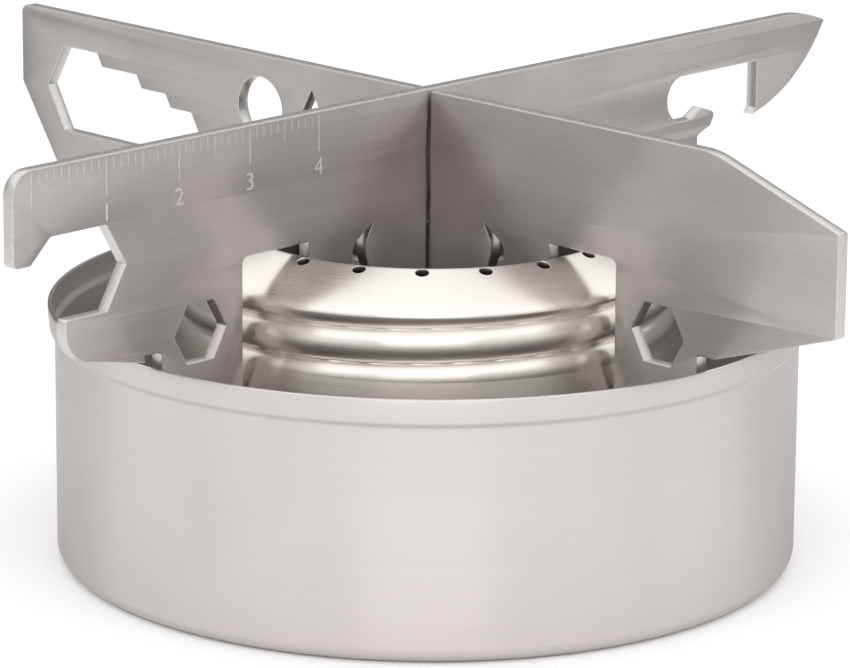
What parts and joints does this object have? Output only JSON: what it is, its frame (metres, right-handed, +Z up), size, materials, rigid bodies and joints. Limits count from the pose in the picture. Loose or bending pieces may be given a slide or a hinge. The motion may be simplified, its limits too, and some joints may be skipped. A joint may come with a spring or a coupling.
{
  "type": "alcohol spirit stove",
  "caption": "Shallow round steel pan with a double-wall jet burner with a threaded neck standing in it, under a cross-shaped pot stand of two interlocking flat plates with tool cut-outs.",
  "frame": {"origin": "centre of the pan's flat underside", "axes": "+Z up, +X along the lower stand plate towards its plain tapered arm, +Y along the upper stand plate towards its blade"},
  "size_m": [0.1249, 0.1252, 0.0521],
  "materials": {
    "satin_steel": "satin drawn stainless steel, fine lines around the wall",
    "polished_steel": "bright polished stainless steel",
    "brushed_steel": "flat brushed stainless steel sheet, fine grain along the plate",
    "wick_felt": "off-white mineral fibre felt"
  },
  "bodies": {
    "pan": {"pan": "satin_steel"},
    "burner": {"burner_base_cup": "polished_steel", "burner_inner_wall": "polished_steel", "burner_wick_band": "wick_felt", "burner_top_shell": "polished_steel"},
    "lower_plate": {"stand_lower_plate": "brushed_steel"},
    "upper_plate": {"stand_upper_plate": "brushed_steel"}
  },
  "joints": [
    {"name": "burner_lift", "type": "slide", "parent": "pan", "child": "burner", "axis": [0, 0, 1], "range_m": [0, 0.05]},
    {"name": "lower_plate_lift", "type": "slide", "parent": "burner", "child": "lower_plate", "axis": [0, 0, 1], "range_m": [0, 0.05]},
    {"name": "upper_plate_lift", "type": "slide", "parent": "lower_plate", "child": "upper_plate", "axis": [0, 0, 1], "range_m": [0, 0.045]}
  ]
}
